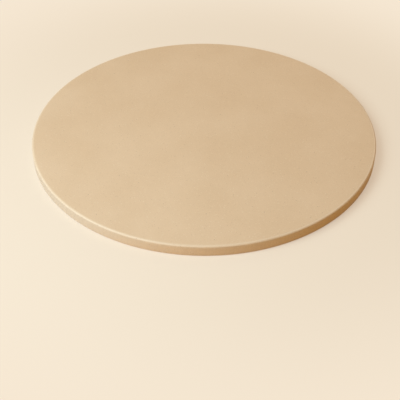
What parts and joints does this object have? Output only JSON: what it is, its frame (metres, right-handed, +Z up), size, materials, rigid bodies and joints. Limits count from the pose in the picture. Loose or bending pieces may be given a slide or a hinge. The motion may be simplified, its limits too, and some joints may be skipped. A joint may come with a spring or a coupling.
{
  "type": "pizza stone",
  "caption": "Flat round slab of unglazed fired ceramic with a smooth baking face and rounded edges, heated in an oven or grill to bake pizza and bread on.",
  "frame": {"origin": "centre of the flat underside, on the surface that the stone rests on", "axes": "+Z up through the baking face, along the axis of the disc; X and Y lie in the underside"},
  "size_m": [0.356, 0.356, 0.012],
  "materials": {
    "cordierite": "unglazed, pressed and fired, matte with a fine sandy grain"
  },
  "bodies": {
    "root": {"baking_stone": "cordierite"}
  },
  "joints": []
}
